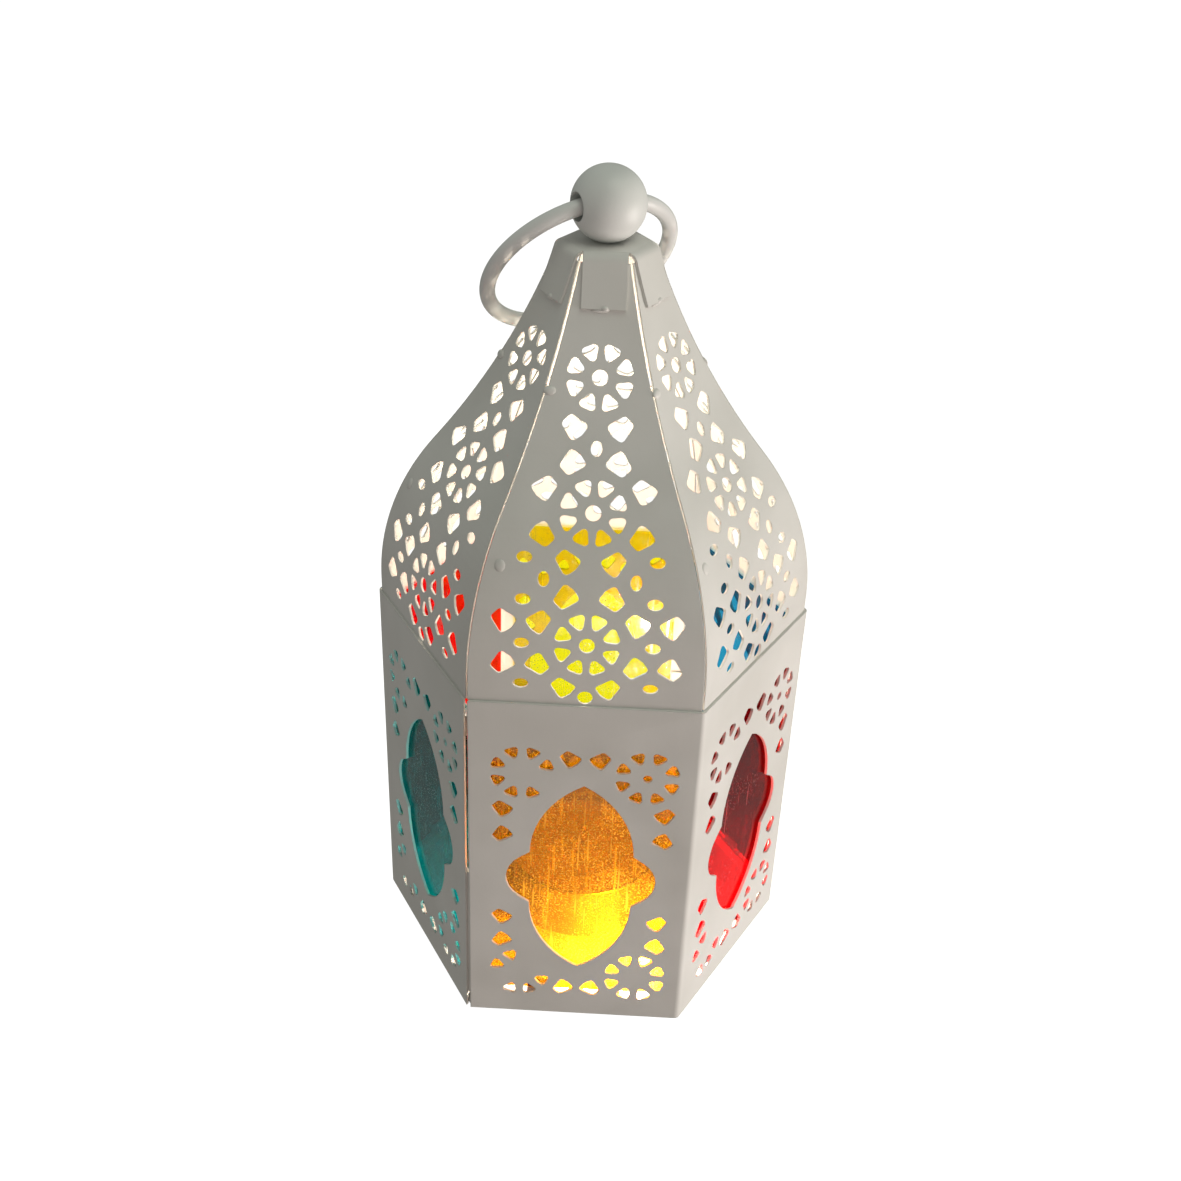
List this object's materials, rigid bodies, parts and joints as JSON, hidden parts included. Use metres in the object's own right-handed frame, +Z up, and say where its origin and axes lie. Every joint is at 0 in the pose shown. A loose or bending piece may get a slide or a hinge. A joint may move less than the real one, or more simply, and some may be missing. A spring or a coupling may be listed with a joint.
{
  "type": "candle lantern",
  "caption": "Six-sided pierced sheet-metal candle lantern with coloured panes, a petal dome, ball finial, hanging ring and push-fit base holding a tealight.",
  "frame": {"origin": "middle of the underside, on the surface the lantern stands on", "axes": "+Z up along the lantern's axis; -Y is out of the front panel, the one facing the viewer"},
  "size_m": [0.0956, 0.0832, 0.182],
  "materials": {
    "painted_sheet": "satin off-white powder coat, slightly dented",
    "amber_pane": "transparent amber, fine scratches",
    "red_pane": "transparent red, fine scratches",
    "teal_pane": "transparent teal, fine scratches",
    "plated_steel": "bright zinc plate",
    "ball_metal": "satin off-white powder coat",
    "ring_wire": "satin off-white powder coat over steel wire",
    "cup_foil": "pressed foil",
    "wax": "smooth wax",
    "wick_cotton": "braided cotton"
  },
  "bodies": {
    "lantern": {"front_shell": "painted_sheet", "rear_shell": "painted_sheet", "seam_strips": "painted_sheet", "pane_front": "amber_pane", "pane_front_right": "red_pane", "pane_back_right": "teal_pane", "pane_back": "amber_pane", "pane_back_left": "red_pane", "pane_front_left": "teal_pane", "pane_clips": "plated_steel", "petal_front": "painted_sheet", "petal_front_right": "painted_sheet", "petal_back_right": "painted_sheet", "petal_back": "painted_sheet", "petal_back_left": "painted_sheet", "petal_front_left": "painted_sheet", "top_cap": "painted_sheet", "ball_finial": "ball_metal", "finial_screw": "plated_steel", "finial_washer": "plated_steel"},
    "ring": {"ring_handle": "ring_wire"},
    "base": {"base_tray": "painted_sheet"},
    "tealight": {"tealight_cup": "cup_foil", "tealight_wax": "wax", "wick_sustainer": "plated_steel", "tealight_wick": "wick_cotton"}
  },
  "joints": [
    {"name": "ring_swing", "type": "hinge", "parent": "lantern", "child": "ring", "pos_m": [0, 0, 0.17447], "axis": [0.866, 0.5, 0], "range_deg": [0, 285]},
    {"name": "base_pull", "type": "slide", "parent": "lantern", "child": "base", "axis": [0, 0, -1], "range_m": [0, 0.06]},
    {"name": "tealight_lift", "type": "slide", "parent": "base", "child": "tealight", "axis": [0, 0, 1], "range_m": [0, 0.05]}
  ]
}
